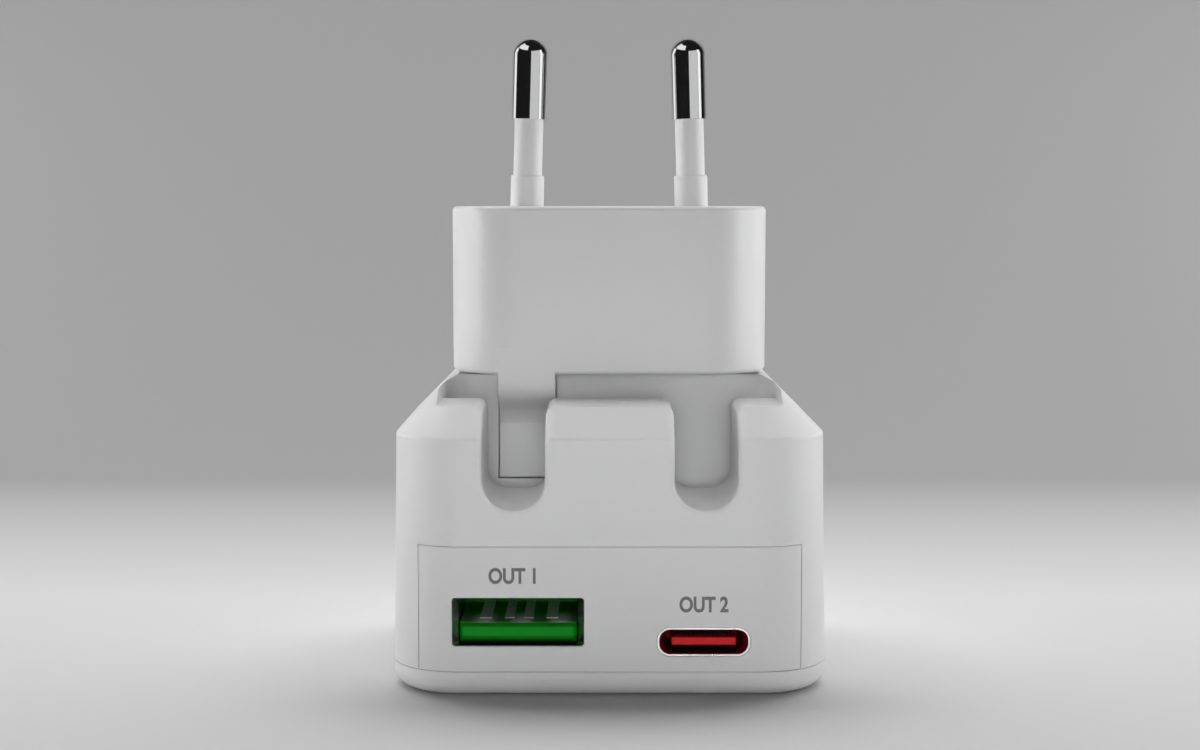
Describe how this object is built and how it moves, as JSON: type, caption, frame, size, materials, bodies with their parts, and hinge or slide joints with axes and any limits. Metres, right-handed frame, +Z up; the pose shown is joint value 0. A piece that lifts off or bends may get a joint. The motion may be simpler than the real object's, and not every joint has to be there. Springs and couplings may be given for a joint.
{
  "type": "usb wall charger with detachable plug head",
  "caption": "Block-shaped USB wall charger with a USB-A and a USB-C socket in its front and a detachable round-pin mains plug head on top.",
  "frame": {"origin": "centre of the charger's base, on the surface it stands on", "axes": "+Z up through the mains pins, USB ports face -Y, +X to the right seen from the ports"},
  "size_m": [0.0466, 0.038, 0.0698],
  "materials": {
    "white_shell": "satin",
    "white_panel": "satin",
    "sleeve_white": "satin",
    "pin_nickel": "polished",
    "port_shell": "polished",
    "green_tongue": "satin",
    "red_tongue": "satin",
    "gold_contact": "polished",
    "blade_metal": "satin",
    "bobbin_plastic": "matte",
    "circuit_board": "satin",
    "ferrite": "matte",
    "winding_tape": "satin",
    "capacitor_can": "satin",
    "ceramic_blue": "satin",
    "fuse_glass": "clear",
    "chip_black": "matte",
    "wire_insulation": "satin"
  },
  "bodies": {
    "charger_body": {"main_shell": "white_shell", "port_panel": "white_panel", "bottom_cover": "white_shell", "terminal_carrier": "bobbin_plastic", "mains_blade_left": "blade_metal", "mains_blade_right": "blade_metal", "main_pcb": "circuit_board", "port_pcb": "circuit_board", "pcb_pillars": "white_shell", "board_header": "bobbin_plastic", "transformer_core": "ferrite", "transformer_bobbin": "bobbin_plastic", "transformer_winding": "winding_tape", "input_capacitor_a": "capacitor_can", "input_capacitor_b": "capacitor_can", "output_capacitors": "capacitor_can", "common_mode_choke": "ferrite", "y_capacitor": "ceramic_blue", "fuse": "fuse_glass", "bridge_rectifier": "chip_black", "controller_ic": "chip_black", "insulation_sheet": "winding_tape", "lead_wire_left": "wire_insulation", "lead_wire_right": "wire_insulation", "usb_a_shell": "port_shell", "usb_a_tongue": "green_tongue", "usb_a_contacts": "gold_contact", "usb_c_shell": "port_shell", "usb_c_tongue": "red_tongue", "usb_c_contacts": "gold_contact"},
    "plug_head": {"head_housing": "white_shell", "head_base": "white_shell", "plug_pin_left": "pin_nickel", "plug_pin_right": "pin_nickel", "pin_sleeve_left": "sleeve_white", "pin_sleeve_right": "sleeve_white", "socket_contact_left": "blade_metal", "socket_contact_right": "blade_metal"}
  },
  "joints": [
    {"name": "head_slide", "type": "slide", "parent": "charger_body", "child": "plug_head", "axis": [0, 0, 1], "range_m": [0, 0.016]}
  ]
}
